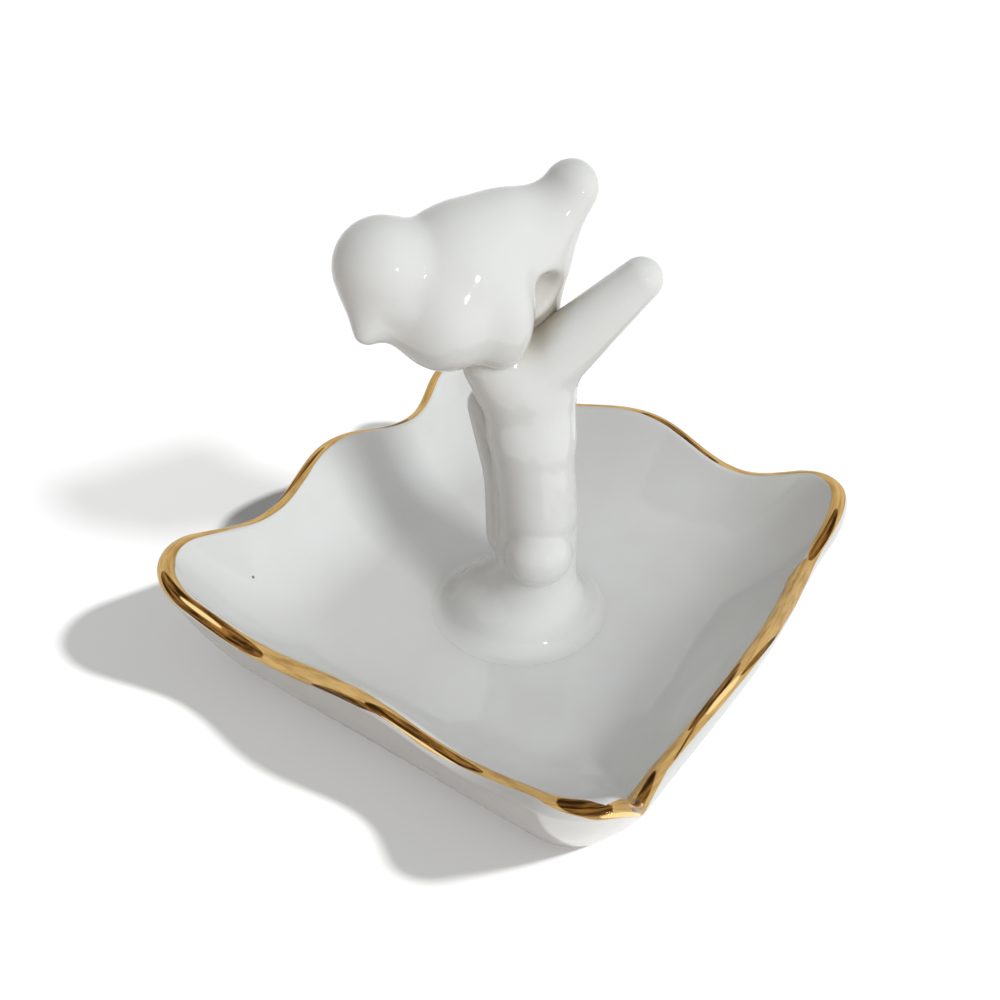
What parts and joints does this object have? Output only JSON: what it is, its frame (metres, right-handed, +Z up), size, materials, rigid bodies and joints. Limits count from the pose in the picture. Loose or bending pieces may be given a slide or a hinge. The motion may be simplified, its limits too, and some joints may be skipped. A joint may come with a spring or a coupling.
{
  "type": "ring dish",
  "caption": "Square glazed ceramic dish with a wavy gilt lip, and a forked branch in its middle that carries a plain bird and holds finger rings.",
  "frame": {"origin": "middle of the dish's flat foot, on the surface it stands on", "axes": "+Z up; X and Y along the sides of the dish; the branch's fork leans towards +X and +Y and the bird's head looks towards -X and -Y"},
  "size_m": [0.1068, 0.106, 0.096],
  "materials": {
    "white_glaze": "gloss",
    "gold_lustre": "polished"
  },
  "bodies": {
    "root": {"dish": "white_glaze", "gilt_rim": "gold_lustre", "trunk": "white_glaze", "fork_limb": "white_glaze", "perch_limb": "white_glaze", "front_twig": "white_glaze", "rear_twig": "white_glaze", "bird": "white_glaze"}
  },
  "joints": []
}
